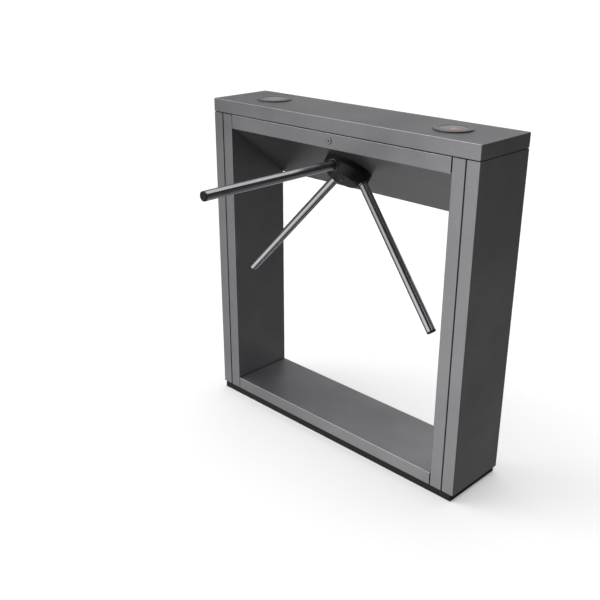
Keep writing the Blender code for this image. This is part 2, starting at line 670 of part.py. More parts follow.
def hingeLeaf(name, low, high, first, ringSide):
    strip = box((-hingeLength / 2, leafFace, low), (hingeLength / 2, leafFace + leafThick, high))
    leaf = place(name, strip, machined, origin=hingeOrigin)
    for k in range(first, hingeKnuckles, 2):
        start = -hingeLength / 2 + k * knuckle + fit
        stop = start + knuckle - 2 * fit
        reach = ringSide * 0.006
        arc = [(hingeY + knuckleRadius * math.cos(a), hingeZ + ringSide * knuckleRadius * math.sin(a))
               for a in (math.radians(180 - 22.5 * i) for i in range(1, 16))]
        tab = [(leafFace, hingeZ + reach), (leafFace + leafThick, hingeZ + reach),
               (leafFace + leafThick, hingeZ + ringSide * 0.0029)] + arc[1:]
        tab += [(leafFace, hingeZ - ringSide * 0.0006)]
        boolean(leaf, helper(f"add_{name}_{k}", prism(tab, start, stop, along="X")), "UNION")
    boolean(leaf, helper(f"cut_{name}_bore", lathe([
        (0.0, -hingeLength), (hingePinRadius + fit, -hingeLength),
        (hingePinRadius + fit, hingeLength), (0.0, hingeLength)],
        16, "X", (hingeY, hingeZ))))


hingeLeaf("hinge_leaf_fixed", hingeZ - 0.028, hingeZ - 0.0045, 0, -1)
hingeLeaf("hinge_leaf_lid", hingeZ + 0.0045, hingeZ + 0.028, 1, 1)
place("hinge_pin", lathe([
    (0.0, -hingeLength / 2 - 0.001), (hingePinRadius, -hingeLength / 2 - 0.001),
    (hingePinRadius, hingeLength / 2 + 0.001), (0.0, hingeLength / 2 + 0.001)],
    16, "X", (hingeY, hingeZ)), machined)

barrelBack = -halfDepth + 0.0245
headBack = -halfDepth - 0.0010
plugBore = 0.0068
place("lock_body", lathe([
    (plugBore, barrelBack), (lockBarrelRadius, barrelBack), (lockBarrelRadius, -halfDepth - fit),
    (lockRingRadius, -halfDepth - fit), (lockRingRadius, -halfDepth - 0.0030),
    (lockRingRadius - 0.0008, -halfDepth - 0.0038), (lockFaceRadius + 0.0003, -halfDepth - 0.0038),
    (lockFaceRadius + 0.0003, headBack), (plugBore, headBack)], boreSides, "Y",
    (0.0, lockHeight)),
    chrome)
lockOrigin = Vector((0.0, -halfDepth, lockHeight))
camFront = barrelBack + fit
camThick = 0.003
plug = place("lock_plug", lathe([
    (0.0, camFront + camThick + 0.0015), (0.0045, camFront + camThick + 0.0015),
    (0.0045, camFront), (plugBore - fit, camFront - fit), (plugBore - fit, headBack - fit),
    (lockFaceRadius, headBack - fit), (lockFaceRadius, -halfDepth - 0.0042),
    (lockFaceRadius - 0.0006, -halfDepth - 0.0048), (0.0, -halfDepth - 0.0048)],
    boreSides, "Y", (0.0, lockHeight)), machined, origin=lockOrigin)
boolean(plug, helper("cut_keyway", box(
    (-keywayWidth / 2, -halfDepth - 0.01, lockHeight - keywayLength / 2),
    (keywayWidth / 2, -halfDepth + 0.004, lockHeight + keywayLength / 2))))
camOutline = [(-0.0080, -0.0060), (0.0080, -0.0060), (0.0080, 0.0060), (0.0060, 0.0240),
              (0.0040, 0.0260), (-0.0040, 0.0260), (-0.0060, 0.0240), (-0.0080, 0.0060)]
place("lock_cam", prism([(x, lockHeight + z) for x, z in camOutline], camFront + fit,
                        camFront + camThick, [circle(0.0048, 20, (0.0, lockHeight))], along="Y"),
      zincPlate, origin=lockOrigin)
place("lid_catch", prism([
    (0.0140, 0.9240), (0.0320, 0.9240), (0.0320, cabinetHeight - sheet - 0.003),
    (0.0440, cabinetHeight - sheet - 0.003), (0.0440, cabinetHeight - sheet - fit),
    (0.0290, cabinetHeight - sheet - fit), (0.0290, 0.9280), (0.0140, 0.9280)],
    camFront - 0.006, camFront + 0.010, along="Y"), zincPlate, origin=hingeOrigin)

# electrics inside the posts
boardFace = halfLength - sheet - fit
board = place("control_board", box((boardFace - 0.0100, -0.045, 0.560),
                                   (boardFace - 0.0084, 0.045, 0.720)), boardGreen)
for number, (y, z) in enumerate(((-0.038, 0.568), (0.038, 0.568), (-0.038, 0.712), (0.038, 0.712))):
    boolean(board, helper(f"add_standoff_{number}", lathe([
        (0.0, boardFace - 0.0095), (0.003, boardFace - 0.0095), (0.003, boardFace),
        (0.0, boardFace)], 12, "X", (y, z))), "UNION")
for number, (y0, y1, z0, z1, deep) in enumerate((
        (-0.040, 0.010, 0.578, 0.588, 0.012), (-0.020, 0.012, 0.612, 0.644, 0.004),
        (0.020, 0.038, 0.600, 0.640, 0.016), (-0.036, 0.036, 0.686, 0.697, 0.012))):
    boolean(board, helper(f"add_component_{number}", box(
        (boardFace - 0.0095 - deep, y0, z0), (boardFace - 0.0090, y1, z1))), "UNION")
supply = place("power_supply", box((-boardFace, -0.050, 0.110), (-boardFace + 0.034, 0.050, 0.250)),
               zincPlate)
boolean(supply, helper("cut_terminal_bay", box((-boardFace + 0.016, -0.043, 0.222),
                                               (-boardFace + 0.05, 0.043, 0.244))))
for number in range(5):
    z = 0.125 + 0.018 * number
    boolean(supply, helper(f"cut_vent_{number}", box((-boardFace + 0.028, -0.035, z),
                                                     (-boardFace + 0.05, 0.035, z + 0.006))))
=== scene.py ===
import json
import math

import bmesh
import bpy
from mathutils import Matrix, Vector


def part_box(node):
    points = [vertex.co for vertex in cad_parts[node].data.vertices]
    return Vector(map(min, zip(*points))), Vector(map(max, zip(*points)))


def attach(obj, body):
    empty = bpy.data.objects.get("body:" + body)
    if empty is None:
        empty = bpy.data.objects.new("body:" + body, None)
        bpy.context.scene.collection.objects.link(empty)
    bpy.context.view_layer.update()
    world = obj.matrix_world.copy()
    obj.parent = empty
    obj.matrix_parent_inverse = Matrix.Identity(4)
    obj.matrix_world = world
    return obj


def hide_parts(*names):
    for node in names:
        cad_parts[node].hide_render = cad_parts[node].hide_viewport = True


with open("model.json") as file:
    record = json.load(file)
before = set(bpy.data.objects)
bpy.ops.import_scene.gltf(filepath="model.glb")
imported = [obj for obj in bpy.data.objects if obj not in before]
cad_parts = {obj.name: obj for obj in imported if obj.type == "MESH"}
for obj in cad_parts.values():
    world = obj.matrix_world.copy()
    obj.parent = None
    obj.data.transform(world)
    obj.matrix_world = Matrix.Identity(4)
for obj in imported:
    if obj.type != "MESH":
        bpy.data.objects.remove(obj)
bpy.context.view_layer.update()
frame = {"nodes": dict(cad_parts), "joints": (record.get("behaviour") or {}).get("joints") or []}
print("frame loaded:", len(frame["nodes"]), "nodes")

# camera first, so that every other view starts from it
cameraSet = {"place": (1.5461, -1.7657, 1.4067), "tilt": 67.5, "turn": 45.0, "lens": 50.0}
camera = bpy.data.objects.new("camera", bpy.data.cameras.new("camera"))
camera.location = cameraSet["place"]
camera.rotation_euler = (math.radians(cameraSet["tilt"]), 0.0, math.radians(cameraSet["turn"]))
camera.data.lens = cameraSet["lens"]
bpy.context.scene.collection.objects.link(camera)
bpy.context.scene.camera = camera
bpy.context.scene.view_settings.view_transform = "Standard"


# small tools
def linear(hexColour):
    parts = [int(hexColour[i:i + 2], 16) / 255 for i in (1, 3, 5)]
    curve = [p / 12.92 if p <= 0.04045 else ((p + 0.055) / 1.055) ** 2.4 for p in parts]
    return (*curve, 1.0)


def addNode(tree, kind, inputs=None, **settings):
    node = tree.nodes.new(kind)
    for name, value in settings.items():
        setattr(node, name, value)
    for name, value in (inputs or {}).items():
        if isinstance(value, bpy.types.NodeSocket):
            tree.links.new(value, node.inputs[name])
        else:
            node.inputs[name].default_value = value
    return node


# the material, its tree, its shader and the place of a point on the piece.
def startMaterial(name, sockets):
    material = bpy.data.materials.new(name)
    material.use_nodes = True
    tree = material.node_tree
    tree.nodes.clear()
    shader = addNode(tree, "ShaderNodeBsdfPrincipled", sockets)
    addNode(tree, "ShaderNodeOutputMaterial", {"Surface": shader.outputs[0]})
    place = addNode(tree, "ShaderNodeTexCoord").outputs["Object"]
    return material, tree, shader, place


noiseRange = {"From Min": 0.6, "From Max": 1.4}     # where the sum of two noises mostly lies
grainRise = 0.2                                     # height of a grain as a share of its size


# a finish of fine grain and slow unevenness: both move the colour and the gloss a little,
# and the grain also stands up as a bump.
def speckled(name, look, sockets):
    material, tree, shader, place = startMaterial(name, sockets)
    grain = addNode(tree, "ShaderNodeTexNoise", {
        "Vector": place, "Scale": 1 / look["grainSize"], "Detail": 2.0, "Roughness": 0.6})
    cloud = addNode(tree, "ShaderNodeTexNoise", {
        "Vector": place, "Scale": 1 / look["cloudSize"], "Detail": 3.0, "Roughness": 0.55})
    both = addNode(tree, "ShaderNodeMath", {0: grain.outputs["Fac"], 1: cloud.outputs["Fac"]},
                   operation="ADD")
    share = addNode(tree, "ShaderNodeMapRange", {"Value": both.outputs[0], **noiseRange})
    colour = addNode(tree, "ShaderNodeMix", {
        0: share.outputs[0], 6: linear(look["low"]), 7: linear(look["high"])}, data_type="RGBA")
    tree.links.new(colour.outputs[2], shader.inputs["Base Color"])
    gloss = addNode(tree, "ShaderNodeMapRange", {
        "Value": both.outputs[0], **noiseRange, "To Min": look["glossy"],
        "To Max": look["dull"]})
    tree.links.new(gloss.outputs[0], shader.inputs["Roughness"])
    bump = addNode(tree, "ShaderNodeBump", {
        "Height": grain.outputs["Fac"], "Strength": look["relief"],
        "Distance": look["grainSize"] * grainRise})
    tree.links.new(bump.outputs[0], shader.inputs["Normal"])
    return material


# geometry tools
mostReach = 0.49                                    # the most of a side that one arc takes up
onAxisRadius, mergeDistance = 1e-7, 1e-6            # what counts as on the axis, and as one point
edgeAngles = {"bevel": 50.0, "sharp": 32.0}         # degrees from which an edge counts as one


# points are (a, b, radius): each corner becomes an arc of that radius.
def roundCorners(points, steps=4, closed=True):
    result = []
    count = len(points)
    for i, (a, b, radius) in enumerate(points):
        here = Vector((a, b))
        ends = not closed and i in (0, count - 1)
        if radius <= 0 or ends:
            result.append(here)
            continue
        toLast = Vector(points[i - 1][:2]) - here
        toNext = Vector(points[(i + 1) % count][:2]) - here
        lengths = toLast.length, toNext.length
        toLast.normalize()
        toNext.normalize()
        half = toLast.angle(toNext) / 2
        reach = min(radius / math.tan(half), mostReach * lengths[0], mostReach * lengths[1])
        radius = reach * math.tan(half)
        centre = here + (toLast + toNext).normalized() * radius / math.sin(half)
        start = here + toLast * reach - centre
        sweep = start.angle_signed(here + toNext * reach - centre)
        for k in range(steps + 1):
            turn = -sweep * k / steps
            result.append(centre + Vector((
                start.x * math.cos(turn) - start.y * math.sin(turn),
                start.x * math.sin(turn) + start.y * math.cos(turn))))
    return result


# outline of a folded sheet around its middle line, with an arc at each fold.
def sheetOutline(path, thick, bend, steps=5):
    points = [Vector(p) for p in path]
    left, right = [], []
    for i, here in enumerate(points):
        if i in (0, len(points) - 1):
            ahead = (points[1] - here) if i == 0 else (here - points[i - 1])
            side = Vector((-ahead.y, ahead.x)).normalized() * thick / 2
            left.append(here + side)
            right.append(here - side)
            continue
        come, go = (here - points[i - 1]).normalized(), (points[i + 1] - here).normalized()
        turn = math.atan2(come.x * go.y - come.y * go.x, come.dot(go))
        sign = 1 if turn > 0 else -1
        side = Vector((-come.y, come.x))
        centre = here - come * bend * math.tan(abs(turn) / 2) + side * sign * bend
        for k in range(steps + 1):
            a = turn * k / steps
            out = Vector((side.x * math.cos(a) - side.y * math.sin(a),
                          side.x * math.sin(a) + side.y * math.cos(a)))
            middle = centre - out * sign * bend
            left.append(middle + out * thick / 2)
            right.append(middle - out * thick / 2)
    return left + right[::-1]


# closed outline pushed along an axis: (y, z) along X or (x, y) along Z.
def pushed(outline, low, high, along):
    spread = {"X": lambda a, b, c: (c, a, b), "Z": lambda a, b, c: (a, b, c)}[along]
    bm = bmesh.new()
    ends = [[bm.verts.new(spread(a, b, level)) for a, b in outline] for level in (low, high)]
    count = len(outline)
    for i in range(count):
        j = (i + 1) % count
        bm.faces.new((ends[0][i], ends[0][j], ends[1][j], ends[1][i]))
    bm.faces.new(ends[0][::-1])
    bm.faces.new(ends[1])
    return bm


# (radius, height) outline turned about Z.
def turned(profile, sides, place=None, closed=True):
    bm = bmesh.new()
    rings = []
    for radius, height in profile:
        if radius < onAxisRadius:
            rings.append([bm.verts.new((0.0, 0.0, height))])
        else:
            rings.append([bm.verts.new((
                radius * math.cos(2 * math.pi * i / sides),
                radius * math.sin(2 * math.pi * i / sides), height)) for i in range(sides)])
    last = len(rings) if closed else len(rings) - 1
    for k in range(last):
        here, other = rings[k], rings[(k + 1) % len(rings)]
        if len(here) == 1 and len(other) == 1:
            continue
        for i in range(sides):
            j = (i + 1) % sides
            corners = [here[i % len(here)], here[j % len(here)],
                       other[j % len(other)], other[i % len(other)]]
            if len(here) == 1:
                corners.pop(1)
            elif len(other) == 1:
                corners.pop(3)
            bm.faces.new(corners)
    if place is not None:
        bmesh.ops.transform(bm, matrix=place, verts=bm.verts)
    return bm


def rod(radius, low, high, sides, place):
    return turned([(0, low), (radius, low), (radius, high), (0, high)], sides, place,
                  closed=False)


def block(low, high):
    outline = [(low[0], low[1]), (high[0], low[1]), (high[0], high[1]), (low[0], high[1])]
    return pushed(outline, low[2], high[2], "Z")


def makePiece(name, bm, material):
    bmesh.ops.remove_doubles(bm, verts=bm.verts, dist=mergeDistance)
    bmesh.ops.recalc_face_normals(bm, faces=bm.faces)
    mesh = bpy.data.meshes.new(name)
    bm.to_mesh(mesh)
    bm.free()
    mesh.materials.append(material)
    piece = bpy.data.objects.new(name, mesh)
    bpy.context.scene.collection.objects.link(piece)
    return piece


# the piece's modifiers turned into a plain mesh
def settle(piece):
    bpy.context.view_layer.update()
    graph = bpy.context.evaluated_depsgraph_get()
    mesh = bpy.data.meshes.new_from_object(piece.evaluated_get(graph))
    piece.modifiers.clear()
    old = piece.data
    piece.data = mesh
    bpy.data.meshes.remove(old)
    mesh.name = piece.name
    return piece


# sharp edges rounded
def soften(piece, width, segments=3):
    bevel = piece.modifiers.new("edges", "BEVEL")
    bevel.width = width
    bevel.segments = segments
    bevel.limit_method = "ANGLE"
    bevel.angle_limit = math.radians(edgeAngles["bevel"])
    return settle(piece)


# cut bm from the piece, or join it on.
def combine(piece, bm, operation="DIFFERENCE"):
    other = makePiece(piece.name + "_tool", bm, piece.data.materials[0])
    step = piece.modifiers.new("tool", "BOOLEAN")
    step.operation = operation
    step.solver = "EXACT"
    step.object = other
    settle(piece)
    bpy.data.objects.remove(other)
    return piece


# flat faces kept flat beside rounded edges, then the piece's place in the frame
def handIn(piece, body, slot, *nodes):
    piece.data.shade_smooth()
    piece.data.set_sharp_from_angle(angle=math.radians(edgeAngles["sharp"]))
    weighted = piece.modifiers.new("flatFaces", "WEIGHTED_NORMAL")
    weighted.keep_sharp = True
    settle(piece)
    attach(piece, body)
    if nodes:
        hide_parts(*nodes)
    return piece


# Geometry Nodes tools
def newTree(name, inputs):
    tree = bpy.data.node_groups.new(name, "GeometryNodeTree")
    tree.interface.new_socket("Geometry", in_out="INPUT", socket_type="NodeSocketGeometry")
    for label, kind in inputs.items():
        tree.interface.new_socket(label, in_out="INPUT", socket_type=kind)
    tree.interface.new_socket("Geometry", in_out="OUTPUT", socket_type="NodeSocketGeometry")
    return tree, addNode(tree, "NodeGroupInput").outputs, addNode(tree, "NodeGroupOutput")


def endTree(tree, given, output, geometry):
    real = addNode(tree, "GeometryNodeRealizeInstances", {"Geometry": geometry})
    painted = addNode(tree, "GeometryNodeSetMaterial", {
        "Geometry": real.outputs[0], "Material": given["Material"]})
    tree.links.new(painted.outputs[0], output.inputs["Geometry"])
    return tree


# set the inputs by their identifiers, evaluate, and keep the result as a plain mesh.
def runTree(piece, tree, values):
    modifier = piece.modifiers.new(tree.name, "NODES")
    modifier.node_group = tree
    for item in tree.interface.items_tree:
        if item.name in values and item.in_out == "INPUT":
            modifier[item.identifier] = values[item.name]
    return settle(piece)


# copies of the piece at equal turns about an axis.
def aroundAxisTree():
    tree, given, output = newTree("aroundAxis", {
        "Copies": "NodeSocketInt", "Axis Point": "NodeSocketVector", "Axis": "NodeSocketVector",
        "Material": "NodeSocketMaterial"})
    back = addNode(tree, "ShaderNodeVectorMath", {0: given["Axis Point"], "Scale": -1.0},
                   operation="SCALE")
    moved = addNode(tree, "GeometryNodeTransform", {
        "Geometry": given["Geometry"], "Translation": back.outputs[0]})
    points = addNode(tree, "GeometryNodePoints", {
        "Count": given["Copies"], "Position": given["Axis Point"]})
    part = addNode(tree, "ShaderNodeMath", {0: math.tau, 1: given["Copies"]}, operation="DIVIDE")
    angle = addNode(tree, "ShaderNodeMath", {
        0: addNode(tree, "GeometryNodeInputIndex").outputs[0], 1: part.outputs[0]},
        operation="MULTIPLY")
    turn = addNode(tree, "FunctionNodeAxisAngleToRotation", {
        "Axis": given["Axis"], "Angle": angle.outputs[0]})
    copies = addNode(tree, "GeometryNodeInstanceOnPoints", {
        "Points": points.outputs[0], "Instance": moved.outputs[0], "Rotation": turn.outputs[0]})
    return endTree(tree, given, output, copies.outputs[0])


# copies of the piece in a straight row, each turned a little differently about an axis.
def rowTree():
    tree, given, output = newTree("row", {
        "Copies": "NodeSocketInt", "Start": "NodeSocketVector", "Step": "NodeSocketVector",
        "Spin Axis": "NodeSocketVector", "Most Spin": "NodeSocketFloat", "Seed": "NodeSocketInt",
        "Material": "NodeSocketMaterial"})
    line = addNode(tree, "GeometryNodeMeshLine", {
        "Count": given["Copies"], "Start Location": given["Start"], "Offset": given["Step"]},
        mode="OFFSET")
    chance = addNode(tree, "FunctionNodeRandomValue", {
        2: 0.0, 3: given["Most Spin"], "Seed": given["Seed"]}, data_type="FLOAT")
    turn = addNode(tree, "FunctionNodeAxisAngleToRotation", {
        "Axis": given["Spin Axis"], "Angle": chance.outputs[1]})
    copies = addNode(tree, "GeometryNodeInstanceOnPoints", {
        "Points": line.outputs[0], "Instance": given["Geometry"], "Rotation": turn.outputs[0]})
    return endTree(tree, given, output, copies.outputs[0])


aroundAxis = aroundAxisTree()
row = rowTree()

# stainless sheet, ground with a fine grit in all directions: grey satin, with soft wide
# reflections; the grit is 0.1 mm and is drawn over twenty times coarser so that it shows
satinSteel = speckled("groundStainlessSheet", {
    "low": "#8c8c90", "high": "#adadaf", "glossy": 0.34, "dull": 0.43,
    "grainSize": 0.0024, "cloudSize": 0.22, "relief": 0.16,
}, {"Metallic": 0.93})
# steel plate under textured black powder coat: nearly black, dull, with a faint orange peel
powderCoat = speckled("blackPowderCoat", {
    "low": "#121213", "high": "#1b1b1c", "glossy": 0.5, "dull": 0.65,
    "grainSize": 0.0022, "cloudSize": 0.15, "relief": 0.25,
}, {"Metallic": 0.0})
# glass-filled nylon, moulded in a spark-textured tool: warm black with a soft sheen
mouldedNylon = speckled("mouldedBlackNylon", {
    "low": "#111112", "high": "#1a1a1b", "glossy": 0.36, "dull": 0.46,
    "grainSize": 0.0012, "cloudSize": 0.05, "relief": 0.2,
}, {"Metallic": 0.0})
# soft seal rubber: the deepest black, which reads as a gap; it is the hub band and the arm seals,
# and it is also painted shade as strips in the frame's grooves and in the lock's groove and keyway
sealRubberAndPaintedShade = speckled("blackSealRubberAndPaintedShade", {
    "low": "#050505", "high": "#0a0a0a", "glossy": 0.55, "dull": 0.7,
    "grainSize": 0.0010, "cloudSize": 0.04, "relief": 0.1,
}, {"Metallic": 0.0})
# stainless tube, drawn and buffed: bright, with long soft streaks of the room in it
buffedTube = speckled("buffedStainlessTube", {
    "low": "#b6b7ba", "high": "#c8c9cc", "glossy": 0.16, "dull": 0.22,
    "grainSize": 0.0010, "cloudSize": 0.08, "relief": 0.04,
}, {"Metallic": 1.0})
# low-density polyethylene tube plug: black and a little waxy
tubePlug = speckled("blackTubePlug", {
    "low": "#0d0d0e", "high": "#171718", "glossy": 0.38, "dull": 0.5,
    "grainSize": 0.0012, "cloudSize": 0.02, "relief": 0.12,
}, {"Metallic": 0.0})
# brass lock parts under satin nickel: as grey as the sheet round them, with soft highlights
platedLock = speckled("satinNickelBrass", {
    "low": "#9c9da0", "high": "#acadb0", "glossy": 0.32, "dull": 0.40,
    "grainSize": 0.0008, "cloudSize": 0.01, "relief": 0.04,
}, {"Metallic": 1.0})
# turned and milled steel, lightly oiled: grey with a tight sheen
machinedSteel = speckled("machinedSteel", {
    "low": "#a2a3a5", "high": "#bbbcbe", "glossy": 0.24, "dull": 0.36,
    "grainSize": 0.0009, "cloudSize": 0.03, "relief": 0.12,
}, {"Metallic": 1.0})
# sheet steel, zinc plated and passivated: paler and duller, a little uneven
zincPlate = speckled("passivatedZincPlate", {
    "low": "#9a9c98", "high": "#b6b8b2", "glossy": 0.36, "dull": 0.5,
    "grainSize": 0.0014, "cloudSize": 0.02, "relief": 0.1,
}, {"Metallic": 1.0})
# brass, hobbed: warm yellow, satin on the teeth
hobbedBrass = speckled("hobbedBrass", {
    "low": "#ad8640", "high": "#c69c50", "glossy": 0.22, "dull": 0.34,
    "grainSize": 0.0008, "cloudSize": 0.01, "relief": 0.1,
}, {"Metallic": 1.0})
# ABS housings, moulded smooth: black with a plain satin skin
mouldedAbs = speckled("mouldedBlackAbs", {
    "low": "#161617", "high": "#202022", "glossy": 0.32, "dull": 0.42,
    "grainSize": 0.0010, "cloudSize": 0.04, "relief": 0.08,
}, {"Metallic": 0.0})
# polycarbonate reader bezel, polished, with dark sides; its base colour is a mid grey, a painted
# reflection of a grey sky in its top, where the plastic itself is black
bezelPaintedSkyGrey = speckled("polishedPolycarbonatePaintedSkyGrey", {
    "low": "#58585a", "high": "#646466", "glossy": 0.20, "dull": 0.28,
    "grainSize": 0.0010, "cloudSize": 0.05, "relief": 0.03,
}, {"Metallic": 0.0, "Coat Weight": 0.5, "Coat Roughness": 0.12})
# circuit board under green solder mask
solderMask = speckled("greenSolderMask", {
    "low": "#0b3a20", "high": "#17603a", "glossy": 0.25, "dull": 0.4,
    "grainSize": 0.0030, "cloudSize": 0.01, "relief": 0.2,
}, {"Metallic": 0.0})


# acrylic diffuser with fine moulded rings about its centre, which catch the light as arcs.
def frostedLens(name, centre, look):
    material, tree, shader, place = startMaterial(name, {
        "Roughness": 0.3, "Coat Weight": 0.35, "Coat Roughness": 0.1})
    centred = addNode(tree, "ShaderNodeMapping", {
        "Vector": place, "Location": (-centre.x, -centre.y, 0.0), "Scale": (1.0, 1.0, 0.0)})
    rings = addNode(tree, "ShaderNodeTexWave", {
        "Vector": centred.outputs[0], "Scale": 0.5 / look["ringPitch"] / math.pi,
        "Distortion": 0.0}, wave_type="RINGS", rings_direction="Z")
    distance = addNode(tree, "ShaderNodeVectorMath", {0: centred.outputs[0]}, operation="LENGTH")
    fade = addNode(tree, "ShaderNodeMapRange", {
        "Value": distance.outputs["Value"], "From Min": 0.0, "From Max": look["radius"]})
    colour = addNode(tree, "ShaderNodeMix", {
        0: fade.outputs[0], 6: linear(look["middle"]), 7: linear(look["edge"])},
        data_type="RGBA")
    tree.links.new(colour.outputs[2], shader.inputs["Base Color"])
    bump = addNode(tree, "ShaderNodeBump", {
        "Height": rings.outputs["Fac"], "Strength": look["relief"],
        "Distance": look["ringRise"]})
    tree.links.new(bump.outputs[0], shader.inputs["Normal"])
    return material


# red LED dots seen through the diffuser: a warm red that glows more than it is lit
ledRed, tree, shader, place = startMaterial("litRedLed", {
    "Base Color": linear("#c8281e"), "Roughness": 0.4, "Emission Strength": 1.6})
flicker = addNode(tree, "ShaderNodeTexNoise", {"Vector": place, "Scale": 400.0, "Detail": 1.0})
glow = addNode(tree, "ShaderNodeMix", {
    0: flicker.outputs["Fac"], 6: linear("#ff3a30"), 7: linear("#ff6a58")}, data_type="RGBA")
tree.links.new(glow.outputs[2], shader.inputs["Emission Color"])

print("materials made:", len(bpy.data.materials))

# gate frame: folded sheets on a thick plate
sheetThick = 0.002
fold = {"radius": 0.0013, "tight": 0.0011,  # middle-line radius of a fold, and beside a groove
        "edge": 0.0009}                     # rounding of cut edges
plate = {"edge": 0.0012, "inset": 0.008, "halfPost": 0.040,
         "entryLong": 0.018, "entryWide": 0.024,            # half the cable entry
         "anchorRadius": 0.007, "anchorIn": 0.002, "anchorAcross": 0.076,
         "cutLow": -0.01, "cutHigh": 0.05}                  # ends of the cutting tools
plinthLow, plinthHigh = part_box("plinth")
basePlate = makePiece("base_plate", block(plinthLow, plinthHigh), powderCoat)
for side in (-1, 1):
    centre = side * (abs(plinthLow.x) + plate["inset"] - plate["halfPost"])
    combine(basePlate, block(
        (centre - plate["entryLong"], -plate["entryWide"], plate["cutLow"]),
        (centre + plate["entryLong"], plate["entryWide"], plate["cutHigh"])))
    for across in (-plate["anchorAcross"], plate["anchorAcross"]):
        combine(basePlate, rod(
            plate["anchorRadius"], plate["cutLow"], plate["cutHigh"], 32,
            Matrix.Translation((centre - side * plate["anchorIn"], across, 0))))
handIn(soften(basePlate, plate["edge"]), "cabinet", "base_black", "plinth")


def foldedShell(name, path, low, high, along="Z"):
    piece = makePiece(name, pushed(sheetOutline(path, sheetThick, fold["radius"]), low, high,
                                   along), satinSteel)
    return soften(piece, fold["edge"])


joint = {"gap": 0.0035, "step": 0.0023, "seal": 0.0008,     # groove, its depth, its seal strip of painted shade
         "under": 0.0001, "beside": 0.0002,                 # play under and beside the shade strip
         "seam": 0.0016}                                    # what a cross sheet is short of a post
half = sheetThick / 2
for label, side in (("left", -1), ("right", 1)):
    low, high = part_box(f"post_{label}_outer")
    outer, edge = (high.x, low.x) if side > 0 else (low.x, high.x)
    front, rear = low.y + half, high.y - half
    outerPath = [(edge, front), (outer - side * half, front), (outer - side * half, rear),
                 (edge, rear)]
    shell = foldedShell(f"post_shell_outer_{label}", outerPath, low.z, high.z)
    handIn(shell, "cabinet", "cabinet_steel", f"post_{label}_outer")
    low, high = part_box(f"post_{label}_inner")
    inner, tongue = (low.x, high.x) if side > 0 else (high.x, low.x)
    lip = edge - side * joint["gap"]
    innerPath = [(tongue, front + joint["step"]), (lip - side * half, front + joint["step"]),
                 (lip - side * half, front), (inner + side * half, front),
                 (inner + side * half, rear), (lip - side * half, rear),
                 (lip - side * half, rear - joint["step"]), (tongue, rear - joint["step"])]
    piece = makePiece(f"post_shell_inner_{label}", pushed(
        sheetOutline(innerPath, sheetThick, fold["tight"]), low.z, high.z, "Z"), satinSteel)
    handIn(soften(piece, fold["edge"]), "cabinet", "cabinet_steel", f"post_{label}_inner")

    # a strip of black seal rubber on the floor of each groove: painted shade, which makes the
    # groove read as a dark gap
    shadeStrips = ((-1, "front", front - half), (1, "rear", rear + half))
    for facing, where, level in shadeStrips:
        deep = level - facing * (joint["step"] + joint["under"])
        top = deep + facing * joint["seal"]
        strip = block((min(edge, lip) + joint["beside"], min(deep, top), low.z),
                      (max(edge, lip) - joint["beside"], max(deep, top), high.z))
        handIn(makePiece(f"groove_seal_{label}_{where}", strip, sealRubberAndPaintedShade), "cabinet",
               "gloss_black")

low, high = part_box("lower_beam")
beam = foldedShell("lower_beam_cover", [
    (low.y + half, low.z), (low.y + half, high.z - half), (high.y - half, high.z - half),
    (high.y - half, low.z)], low.x + joint["seam"], high.x - joint["seam"], "X")
handIn(beam, "cabinet", "cabinet_steel", "lower_beam")

low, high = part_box("fascia")
fascia = foldedShell("fascia_sheet", [
    (low.y + half, low.z), (low.y + half, high.z - half), (high.y, high.z - half)],
    low.x + joint["seam"], high.x - joint["seam"], "X")
lockLow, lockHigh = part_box("lock_body")
lockCentre = Vector(((lockLow.x + lockHigh.x) / 2, low.y, (lockLow.z + lockHigh.z) / 2))
lockPlace = Matrix.Translation(lockCentre) @ Matrix.Rotation(math.radians(90), 4, "X")  # z to -Y
lockHole = 0.01                                             # half the length of its cutting tool
plugLow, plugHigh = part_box("lock_plug")
plugRadius = (plugHigh.x - plugLow.x) / 2
combine(fascia, rod(plugRadius, -lockHole, lockHole, 48, lockPlace))
handIn(fascia, "cabinet", "cabinet_steel", "fascia")
fasciaBottom = low.z

low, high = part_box("rear_panel")
rearSheet = makePiece("rear_sheet", block(low, high), satinSteel)
handIn(soften(rearSheet, fold["edge"]), "cabinet", "cabinet_steel", "rear_panel")
rearBottom, rearFace = low.z, high.y


def jointNamed(name):
    return next(entry for entry in frame["joints"] if entry["name"] == name)


# rotor's own frame: x along the cabinet, z up and back along the axis
spin = jointNamed("rotor_spin")
axisPoint, axis = Vector(spin["pos_m"]), Vector(spin["axis"]).normalized()
across = axis.cross(Vector((1, 0, 0)))
rotorFrame = Matrix.Translation(axisPoint) @ Matrix((
    (1, 0, 0), tuple(across), tuple(axis))).transposed().to_4x4()
axisTilt = math.atan2(axis.z, axis.y)


# a node's lowest and highest place along the rotor axis, and its radius about it.
def onAxis(node):
    back = rotorFrame.inverted()
    local = [back @ vertex.co for vertex in frame["nodes"][node].data.vertices]
    heights = [p.z for p in local]
    return min(heights), max(heights), max(p.xy.length for p in local)


soffitSet = {"play": 0.0006, "cutFrom": -0.06}   # round the flange, and down the rotor axis
low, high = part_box("slope_panel")
slope = (rearBottom - fasciaBottom) / (2 * rearFace)
lean = sheetThick * math.sqrt(1 + slope * slope)
flangeLow, flangeHigh, flangeRadius = onAxis("hub_flange")


def underside(y):
    return fasciaBottom + slope * (y + rearFace)


soffit = makePiece("sloping_soffit", pushed([
    (low.y, underside(low.y)), (high.y, underside(high.y)),
    (high.y, underside(high.y) + lean), (low.y, underside(low.y) + lean)],
    low.x, high.x, "X"), satinSteel)
combine(soffit, rod(flangeRadius + soffitSet["play"], soffitSet["cutFrom"], 0, 128, rotorFrame))
handIn(soffit, "cabinet", "cabinet_steel", "slope_panel")
print("gate frame made")

